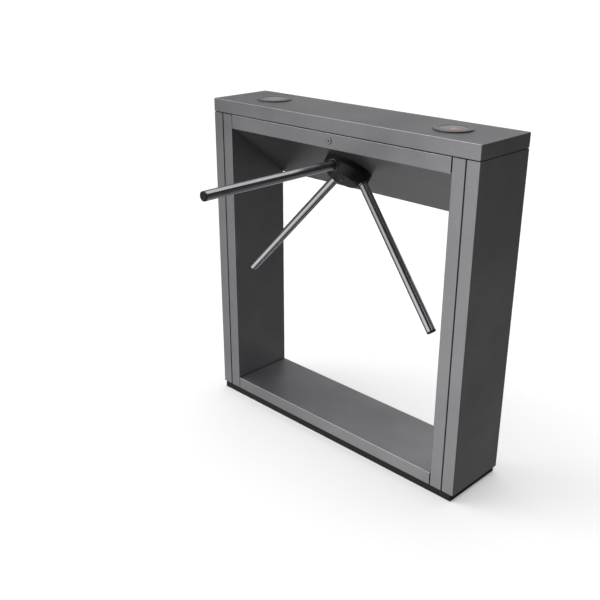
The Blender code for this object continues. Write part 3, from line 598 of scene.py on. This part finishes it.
# lid: a shallow welded tray with its corners ground round
lidSet = {"edge": 0.0022, "edgeSteps": 4, "readerHole": 0.039,
          "below": 0.01, "cutLow": 0.9, "cutHigh": 1.1}     # reach of the cutting tools
low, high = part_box("lid")
lid = makePiece("lid_tray", block(low, high), satinSteel)
soften(lid, lidSet["edge"], lidSet["edgeSteps"])
combine(lid, block((low.x + sheetThick, low.y + sheetThick, low.z - lidSet["below"]),
                   (high.x - sheetThick, high.y - sheetThick, high.z - sheetThick)))
readers = {}
for label in ("left", "right"):
    lensLow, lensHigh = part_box(f"reader_lens_{label}")
    readers[label] = Vector(((lensLow.x + lensHigh.x) / 2, (lensLow.y + lensHigh.y) / 2, 0))
    combine(lid, rod(lidSet["readerHole"], lidSet["cutLow"], lidSet["cutHigh"], 96,
                     Matrix.Translation(readers[label])))
handIn(lid, "lid", "cabinet_steel", "lid")

# readers: a raised bezel, a frosted lens and, on the right one, a lit red cross
readerSet = {"gap": 0.0003, "undercut": 0.0010, "undercutHeight": 0.0012, "dome": 0.0006,
             "stepRound": 0.0002, "lipRound": 0.0003, "topRound": 0.0011, "innerRound": 0.0005,
             "domeSteps": 8}
for label, centre in readers.items():
    bezelLow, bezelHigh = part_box(f"reader_bezel_{label}")
    lensLow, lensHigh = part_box(f"reader_lens_{label}")
    bezelRadius = (bezelHigh.x - bezelLow.x) / 2
    lensRadius = (lensHigh.x - lensLow.x) / 2
    place = Matrix.Translation(centre)
    step = bezelLow.z + readerSet["undercutHeight"]
    # the bezel's mid-grey base colour is a painted reflection of the sky
    bezel = makePiece(f"reader_bezel_ring_{label}", turned(roundCorners([
        (lensRadius + readerSet["gap"], bezelLow.z, 0),
        (bezelRadius - readerSet["undercut"], bezelLow.z, 0),
        (bezelRadius - readerSet["undercut"], step, readerSet["stepRound"]),
        (bezelRadius, step, readerSet["lipRound"]),
        (bezelRadius, bezelHigh.z, readerSet["topRound"]),
        (lensRadius + readerSet["gap"], bezelHigh.z, readerSet["innerRound"])]), 128, place),
        bezelPaintedSkyGrey)
    handIn(bezel, "lid", "bezel_grey", f"reader_bezel_{label}")
    frost = frostedLens(f"frostedAcrylic_{label}", centre, {
        "ringPitch": 0.0015, "ringRise": 0.0002, "relief": 0.12, "radius": lensRadius,
        "middle": "#959695" if label == "left" else "#938c8b",
        "edge": "#818382" if label == "left" else "#807e7d"})
    angles = [math.radians(90 * k / readerSet["domeSteps"])
              for k in range(readerSet["domeSteps"] + 1)]
    dome = [(lensRadius * math.sin(a), lensHigh.z - readerSet["dome"] * (1 - math.cos(a)))
            for a in angles]
    lens = makePiece(f"reader_lens_disc_{label}", turned(
        dome + [(lensRadius, lensLow.z), (0, lensLow.z)], 128, place, closed=False), frost)
    handIn(lens, "lid", "lens_grey" if label == "left" else "lens_red",
           f"reader_lens_{label}")

# the lit mark under the right lens: a cross of red LED dots, four arms about its middle
mark = {"dot": 0.0011, "height": 0.0003, "round": 0.0002, "sink": 0.0001,
        "first": 0.0020, "step": 0.0026, "dots": 2, "arms": 4,
        "place": (0.006, -0.009), "turn": 45.0, "status": 0.013}
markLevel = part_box("reader_lens_right")[1].z - mark["sink"]
markAt = readers["right"] + Vector((*mark["place"], markLevel))
outward = Matrix.Rotation(math.radians(mark["turn"]), 3, "Z") @ Vector((1, 0, 0))
dotProfile = roundCorners([
    (0, 0, 0), (mark["dot"], 0, 0), (mark["dot"], mark["height"], mark["round"]),
    (0, mark["height"], 0)], 2)
dots = makePiece("reader_mark_dots", turned(dotProfile, 16, closed=False), ledRed)
runTree(dots, row, {
    "Copies": mark["dots"], "Start": markAt + outward * mark["first"],
    "Step": outward * mark["step"], "Spin Axis": (0, 0, 1), "Most Spin": 0.0, "Seed": 0,
    "Material": ledRed})
runTree(dots, aroundAxis, {"Copies": mark["arms"], "Axis Point": markAt, "Axis": (0, 0, 1),
                           "Material": ledRed})
handIn(dots, "lid", "lens_red")
statusDot = makePiece("reader_status_dot", turned(
    dotProfile, 16, Matrix.Translation(markAt + Vector((mark["status"], 0, 0))), closed=False),
    ledRed)
handIn(statusDot, "lid", "lens_red")
print("lid and readers made")

# cam lock in the fascia: ring, seal, plug and the dust shutter behind its keyway; the black seal on
# the groove's floor and the black shutter just inside the keyway are painted shade, which darkens
# the groove and the keyway
lockSet = {"ringStand": 0.0018, "plugStand": 0.0020, "seat": 0.0005, "groove": 0.0010,
           "ringRound": 0.0005, "innerRound": 0.0003, "plugRound": 0.0003, "bore": 0.0071,
           "barrel": 0.0045, "slotWidth": 0.0044, "slotLength": 0.0062, "slotRound": 0.0014,
           "slotFloor": -0.002, "slotTop": 0.02, "keywayShadeBack": -0.0018, "keywayShadeFace": 0.0004,
           "grooveShadeHigh": 0.0004, "slack": 0.0003, "play": 0.0001}
ringRadius = (lockHigh.x - lockLow.x) / 2
ringInside = plugRadius + lockSet["groove"]
ringBack = lockCentre.y - lockHigh.y
plugBack = lockCentre.y - plugHigh.y
seat, play, slack = lockSet["seat"], lockSet["play"], lockSet["slack"]
ring = makePiece("lock_ring", turned(roundCorners([
    (lockSet["bore"], ringBack, 0), (plugRadius - slack, ringBack, 0),
    (plugRadius - slack, play, 0), (ringRadius, play, play),
    (ringRadius, lockSet["ringStand"], lockSet["ringRound"]),
    (ringInside, lockSet["ringStand"], lockSet["innerRound"]), (ringInside, seat, 0),
    (lockSet["bore"], seat, 0)]), 96, lockPlace), platedLock)
handIn(ring, "cabinet", "lock_chrome", "lock_body")
# a black rubber ring on the floor of the groove between plug and ring: painted shade of the groove
seal = makePiece("lock_groove_painted_shade", turned(roundCorners([
    (plugRadius + play, seat + play, 0), (ringInside - play, seat + play, 0),
    (ringInside - play, seat + lockSet["grooveShadeHigh"], play),
    (plugRadius + play, seat + lockSet["grooveShadeHigh"], play)]), 96, lockPlace), sealRubberAndPaintedShade)
handIn(seal, "cabinet", "gloss_black")
plugSeat = seat + slack
plug = makePiece("lock_plug_face", turned(roundCorners([
    (0, plugBack, 0), (lockSet["barrel"], plugBack, 0), (lockSet["barrel"], ringBack, 0),
    (lockSet["bore"] - slack, ringBack, 0), (lockSet["bore"] - slack, plugSeat, 0),
    (plugRadius, plugSeat, 0), (plugRadius, lockSet["plugStand"], lockSet["plugRound"]),
    (0, lockSet["plugStand"], 0)]), 96, lockPlace), platedLock)


# rounded slot as long and wide as the keyway, less the given play, between two depths
def keyShape(less, low, high):
    wide, long = lockSet["slotWidth"] / 2 - less, lockSet["slotLength"] / 2 - less
    shape = pushed(roundCorners([(side * wide, end * long, lockSet["slotRound"])
                                 for side, end in ((-1, -1), (1, -1), (1, 1), (-1, 1))]),
                   low, high, "Z")
    bmesh.ops.transform(shape, matrix=lockPlace, verts=shape.verts)
    return shape


combine(plug, keyShape(0.0, lockSet["slotFloor"], lockSet["slotTop"]))
handIn(plug, "key_lock", "machined_steel", "lock_plug")
# a black plate just inside the keyway's mouth: painted shade, so that the keyway reads dark
keywayShade = makePiece("lock_keyway_painted_shade", keyShape(
    play, lockSet["keywayShadeBack"], lockSet["keywayShadeFace"]), sealRubberAndPaintedShade)
handIn(keywayShade, "key_lock", "gloss_black")
print("lock made")

# hub: fixed flange, rubber band, cone with three bosses, centre screw
hubSet = {"noseDepth": 0.004, "faceRadius": 0.0455, "round": 0.0016, "rimRound": 0.0008,
          "sides": 160, "flangeBore": 0.0126, "recess": 0.0213, "flangeFloor": 0.0035,
          "flangeRound": 0.0012, "bandThick": 0.0034, "bandSeat": 0.0037, "bandGap": 0.0003}
flange = makePiece("hub_flange_ring", turned(roundCorners([
    (hubSet["flangeBore"], flangeLow, 0), (flangeRadius, flangeLow, hubSet["flangeRound"]),
    (flangeRadius, flangeHigh, 0), (hubSet["recess"], flangeHigh, 0),
    (hubSet["recess"], flangeLow + hubSet["flangeFloor"], 0),
    (hubSet["flangeBore"], flangeLow + hubSet["flangeFloor"], 0)]),
    hubSet["sides"], rotorFrame), mouldedNylon)
handIn(flange, "cabinet", "hub_black", "hub_flange")
bandLow, bandHigh, bandRadius = onAxis("hub_band")
band = makePiece("hub_band_ring", turned(roundCorners([
    (bandRadius - hubSet["bandThick"], bandLow, 0), (bandRadius, bandLow, 0.0004),
    (bandRadius, bandHigh, 0.0006), (bandRadius - hubSet["bandThick"], bandHigh, 0)]),
    hubSet["sides"], rotorFrame), sealRubberAndPaintedShade)
handIn(band, "rotor", "gloss_black", "hub_band")
bodyLow, bodyHigh, bodyRadius = onAxis("hub_body")
noseLevel = bodyLow + hubSet["noseDepth"]
rim = bandLow - hubSet["bandGap"]
noseRadius = bodyRadius - (rim - noseLevel) / math.tan(axisTilt)
hub = makePiece("hub_cone", turned(roundCorners([
    (0, bodyLow, 0), (hubSet["faceRadius"], bodyLow, hubSet["round"]),
    (noseRadius, noseLevel, hubSet["round"]), (bodyRadius, rim, hubSet["rimRound"]),
    (bandRadius - hubSet["bandSeat"], rim, 0), (bandRadius - hubSet["bandSeat"], bodyHigh, 0),
    (0, bodyHigh, 0)], 6),
    hubSet["sides"], rotorFrame, closed=False), mouldedNylon)

armLow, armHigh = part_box("arm_1")
collarLow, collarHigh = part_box("arm_collar_1")
capLow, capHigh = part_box("arm_cap_1")
armSet = {
    "radius": (armHigh.x - armLow.x) / 2, "wall": 0.0015,
    "root": axisPoint.y - armHigh.y, "end": axisPoint.y - armLow.y,
    "tip": axisPoint.y - capLow.y, "plug": axisPoint.y - capHigh.y,
    "collarRadius": (collarHigh.x - collarLow.x) / 2,
    "collarFrom": axisPoint.y - collarHigh.y, "collarTo": axisPoint.y - collarLow.y,
    "cutRound": 0.0002, "capGap": 0.0003, "capInRound": 0.001, "capRound": 0.0014,
}
armFrame = rotorFrame @ Matrix.Rotation(math.radians(-90), 4, "Z") @ Matrix.Rotation(
    math.pi - axisTilt, 4, "Y")
boss = {"lip": 0.0007, "round": 0.0008, "from": 0.055, "short": 0.0001}   # short of the collar
bossRadius = armSet["collarRadius"] + boss["lip"]
bossEnd = armSet["collarFrom"] - boss["short"]
for turn in range(3):
    about = rotorFrame @ Matrix.Rotation(math.tau * turn / 3, 4, "Z") @ rotorFrame.inverted()
    combine(hub, turned(roundCorners([
        (0, boss["from"], 0), (bossRadius, boss["from"], 0), (bossRadius, bossEnd, boss["round"]),
        (0, bossEnd, 0)]), 64, about @ armFrame, closed=False), "UNION")
handIn(hub, "rotor", "hub_black", "hub_body")

hubScrew = {"socket": 0.0018, "socketDepth": 0.0016, "socketRound": 0.0003, "round": 0.0009,
            "lift": 0.0001}
screwLow, _, screwRadius = onAxis("hub_screw")
screwSeat = bodyLow - hubScrew["lift"]
screw = makePiece("hub_centre_screw", turned(roundCorners([
    (0, screwLow + hubScrew["socketDepth"], 0),
    (hubScrew["socket"], screwLow + hubScrew["socketDepth"], 0),
    (hubScrew["socket"], screwLow, hubScrew["socketRound"]),
    (screwRadius, screwLow, hubScrew["round"]), (screwRadius, screwSeat, 0), (0, screwSeat, 0)]),
    48, rotorFrame, closed=False), machinedSteel)
handIn(screw, "rotor", "lock_chrome", "hub_screw")


def threeArms(name, profile, material, slot, *nodes, closed=True):
    piece = makePiece(name, turned(profile, 96, armFrame, closed), material)
    runTree(piece, aroundAxis, {"Copies": 3, "Axis Point": axisPoint, "Axis": axis,
                                "Material": material})
    return handIn(piece, "rotor", slot, *nodes)


inside = armSet["radius"] - armSet["wall"]
threeArms("arm_tubes", roundCorners([
    (inside, armSet["root"], 0), (armSet["radius"], armSet["root"], 0),
    (armSet["radius"], armSet["end"], armSet["cutRound"]), (inside, armSet["end"], 0)]),
    buffedTube, "arm_chrome", "arm_1", "arm_2", "arm_3")
capShoulder = armSet["end"] + armSet["capGap"]
capRadius, capInside = armSet["radius"] - 0.0001, inside - armSet["capGap"]
threeArms("arm_end_caps", roundCorners([
    (0, armSet["plug"], 0), (capInside, armSet["plug"], armSet["capInRound"]),
    (capInside, capShoulder, 0), (capRadius, capShoulder, 0.0003),
    (capRadius, armSet["tip"], armSet["capRound"]), (0, armSet["tip"], 0)], 6),
    tubePlug, "cap_black", "arm_cap_1", "arm_cap_2", "arm_cap_3", closed=False)
collar = {"rim": 0.0007, "recess": 0.0022, "round": 0.0003, "rimRound": 0.0002, "play": 0.0003,
          "sealPlay": 0.0002, "sealOut": 0.0012, "sealIn": 0.0006}  # the seal's depth below the rim
rimInside = armSet["collarRadius"] - collar["rim"]
recessLevel = armSet["collarTo"] - collar["recess"]
collarInside = armSet["radius"] + collar["play"]
threeArms("arm_collars", roundCorners([
    (collarInside, armSet["collarFrom"], 0),
    (armSet["collarRadius"], armSet["collarFrom"], collar["round"]),
    (armSet["collarRadius"], armSet["collarTo"], collar["round"]),
    (rimInside, armSet["collarTo"], collar["rimRound"]), (rimInside, recessLevel, 0),
    (collarInside, recessLevel, 0)], 5),
    buffedTube, "arm_chrome", "arm_collar_1", "arm_collar_2", "arm_collar_3")
sealInside = armSet["radius"] + collar["sealPlay"]
sealOutside, sealFloor = rimInside - 0.0001, recessLevel + 0.0001
threeArms("arm_seals", roundCorners([
    (sealInside, sealFloor, 0), (sealOutside, sealFloor, 0),
    (sealOutside, armSet["collarTo"] - collar["sealOut"], 0.0003),
    (sealInside, armSet["collarTo"] - collar["sealIn"], 0.0004)]),
    sealRubberAndPaintedShade, "gloss_black")
print("rotor made")

# hinge: two leaves with curled knuckles, a pin and countersunk screws
hingeAt = Vector(jointNamed("lid_open")["pos_m"])
hingeSet = {"knuckles": 7, "outer": 0.0035, "inner": 0.0018, "knuckleGap": 0.0003,
            "leafThick": 0.0015, "leafGap": 0.0045, "leafReach": 0.028, "leafEdge": 0.0004,
            "tabFrom": 0.0055, "tabTo": 0.0024, "curlFrom": 168, "curlStep": 15,
            "curlPoints": 23, "screws": 6, "headRadius": 0.0034, "spin": 1.5, "seed": 7}
leafLow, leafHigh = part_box("hinge_leaf_fixed")
hingeLength = leafHigh.x - leafLow.x
knuckleStep = hingeLength / hingeSet["knuckles"]
screwHead = roundCorners([
    (0, -0.0008, 0), (0.0007, -0.0001, 0), (0.0007, 0.0003, 0), (0.0017, 0.0003, 0),
    (hingeSet["headRadius"], 0.0001, 0.0001), (hingeSet["headRadius"] - 0.0012, -0.0006, 0)])
for label, body, node, ringSide, first in (
        ("fixed", "cabinet", "hinge_leaf_fixed", -1, 0), ("lid", "lid", "hinge_leaf_lid", 1, 1)):
    low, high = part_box(node)
    face = low.y
    flatLow, flatHigh = sorted((hingeAt.z + ringSide * hingeSet["leafGap"],
                                hingeAt.z + ringSide * hingeSet["leafReach"]))
    strip = makePiece(f"hinge_leaf_{label}_strip", block(
        (-hingeLength / 2, face, flatLow), (hingeLength / 2, face + hingeSet["leafThick"],
                                            flatHigh)), satinSteel)
    handIn(soften(strip, hingeSet["leafEdge"]), body, "machined_steel", node)
    arcs = []
    for radius, order in ((hingeSet["outer"], 1), (hingeSet["inner"], -1)):
        arc = [(hingeAt.y + radius * math.cos(a), hingeAt.z + ringSide * radius * math.sin(a))
               for a in (math.radians(hingeSet["curlFrom"] - hingeSet["curlStep"] * i)
                         for i in range(hingeSet["curlPoints"]))]
        arcs.append(arc[::order])
    tab = [(face, hingeAt.z + ringSide * hingeSet["tabFrom"]),
           (face + hingeSet["leafThick"], hingeAt.z + ringSide * hingeSet["tabFrom"]),
           (face + hingeSet["leafThick"], hingeAt.z + ringSide * hingeSet["tabTo"])]
    curl = makePiece(f"hinge_knuckles_{label}", pushed(
        tab + arcs[0][2:] + arcs[1][:-2] + [(face, hingeAt.z)],
        hingeSet["knuckleGap"], knuckleStep - hingeSet["knuckleGap"], "X"), satinSteel)
    count = len(range(first, hingeSet["knuckles"], 2))
    runTree(curl, row, {
        "Copies": count, "Start": (-hingeLength / 2 + first * knuckleStep, 0, 0),
        "Step": (2 * knuckleStep, 0, 0), "Spin Axis": (1, 0, 0), "Most Spin": 0.0, "Seed": 0,
        "Material": satinSteel})
    handIn(curl, body, "machined_steel")
    head = makePiece(f"hinge_screws_{label}", turned(
        screwHead, 24, Matrix.Rotation(math.radians(-90), 4, "X")), machinedSteel)
    screwStep = hingeLength / hingeSet["screws"]
    runTree(head, row, {
        "Copies": hingeSet["screws"],
        "Start": (-hingeLength / 2 + screwStep / 2, face + hingeSet["leafThick"],
                  (flatLow + flatHigh) / 2),
        "Step": (screwStep, 0, 0), "Spin Axis": (0, 1, 0), "Most Spin": hingeSet["spin"],
        "Seed": hingeSet["seed"] + first, "Material": machinedSteel})
    handIn(head, body, "machined_steel")
print("hinge made")

# what stays from the CAD, with its finish
kept = {
    machinedSteel: ["hinge_pin", "bearing_front", "bearing_rear", "shaft", "drive_gear",
                    "index_cam", "lock_wheel", "index_lever", "index_roller", "bolt_left",
                    "bolt_right"],
    zincPlate: ["rail_front", "rail_rear", "mech_plate", "lid_catch", "lock_cam",
                "solenoid_left", "solenoid_right", "power_supply"],
    mouldedAbs: ["reader_housing_left", "reader_housing_right", "encoder_disc", "count_sensor",
                 "damper_body"],
    hobbedBrass: ["damper_pinion"],
    solderMask: ["control_board"],
}
for material, names in kept.items():
    for name in names:
        for place in frame["nodes"][name].material_slots:
            place.material = material
print("kept nodes painted")

# pale floor and soft light
studio = {
    "floorGlow": 0.26, "floorColour": "#e6e6e6", "floorSize": 60.0, "floorThick": 0.02,
    # soft walls of light: direction, strength, and the cosines between which each comes up;
    # the strengths of the first six, of the lamps and of the floor's glow began as a
    # least-squares fit of the faces' grey tones, rounded, and most were then changed
    "walls": [((-0.50, -0.80, -0.30), 0.56, 0.85, 1.0),
              ((-0.42, -0.66, -0.62), 0.20, 0.85, 1.0),
              ((0.0, -0.93, -0.28), 0.53, 0.60, 1.0),
              ((-0.48, 0.83, 0.25), 0.32, 0.85, 1.0),
              ((-0.45, 0.65, -0.60), 0.44, 0.85, 1.0),
              ((0.43, 0.70, -0.57), 0.17, 0.85, 1.0),
              ((-0.63, -0.37, 0.68), 2.80, 0.91, 1.0),
              ((-0.22, -0.93, 0.28), 0.62, 0.88, 1.0),
              ((1.0, 0.10, 0.05), 0.30, 0.82, 1.0),
              ((0.10, 1.0, 0.15), 0.45, 0.90, 1.0),
              ((-1.0, 0.0, 0.05), 0.35, 0.80, 1.0)],
    "everywhere": 0.015,
    # direction a lamp shines from, how wide it is in degrees, strength
    "lamps": {"softTop": ((-0.15, -0.1, 0.98), 60.0, 1.80),
              "softBack": ((0.05, 0.45, 0.89), 66.0, 0.78)},
}
floorMaterial, tree, shader, place = startMaterial("paleFloor", {
    "Base Color": linear(studio["floorColour"]), "Roughness": 0.9,
    "Specular IOR Level": 0.0, "Emission Color": (1, 1, 1, 1),
    "Emission Strength": studio["floorGlow"]})
size = studio["floorSize"]
floor = makePiece("floor", block(
    (-size, -size, -studio["floorThick"]), (size, size, 0.0)), floorMaterial)
floor.visible_glossy = False
floor.visible_diffuse = False
floor.visible_shadow = False

world = bpy.data.worlds.new("studioRoom")
bpy.context.scene.world = world
world.use_nodes = True
tree = world.node_tree
tree.nodes.clear()
toward = addNode(tree, "ShaderNodeTexCoord").outputs["Generated"]
total = studio["everywhere"]
for direction, strength, start, stop in studio["walls"]:
    facing = addNode(tree, "ShaderNodeVectorMath", {
        0: toward, 1: Vector(direction).normalized()}, operation="DOT_PRODUCT")
    wall = addNode(tree, "ShaderNodeMapRange", {
        "Value": facing.outputs["Value"], "From Min": start, "From Max": stop,
        "To Min": 0.0, "To Max": strength}, interpolation_type="SMOOTHSTEP")
    total = addNode(tree, "ShaderNodeMath", {0: total, 1: wall.outputs[0]},
                    operation="ADD").outputs[0]
light = addNode(tree, "ShaderNodeBackground", {"Color": (1, 1, 1, 1), "Strength": total})
# straight past the gate the room is plain white, like the floor
plain = addNode(tree, "ShaderNodeBackground", {"Color": (1, 1, 1, 1), "Strength": 1.0})
looking = addNode(tree, "ShaderNodeLightPath").outputs["Is Camera Ray"]
room = addNode(tree, "ShaderNodeMixShader", {
    0: looking, 1: light.outputs[0], 2: plain.outputs[0]})
addNode(tree, "ShaderNodeOutputWorld", {"Surface": room.outputs[0]})

for name, (shinesFrom, width, strength) in studio["lamps"].items():
    lamp = bpy.data.objects.new(name, bpy.data.lights.new(name, "SUN"))
    lamp.data.energy = strength
    lamp.data.angle = math.radians(width)
    lamp.rotation_euler = Vector(shinesFrom).to_track_quat("Z", "Y").to_euler()
    bpy.context.scene.collection.objects.link(lamp)
print("stage set")
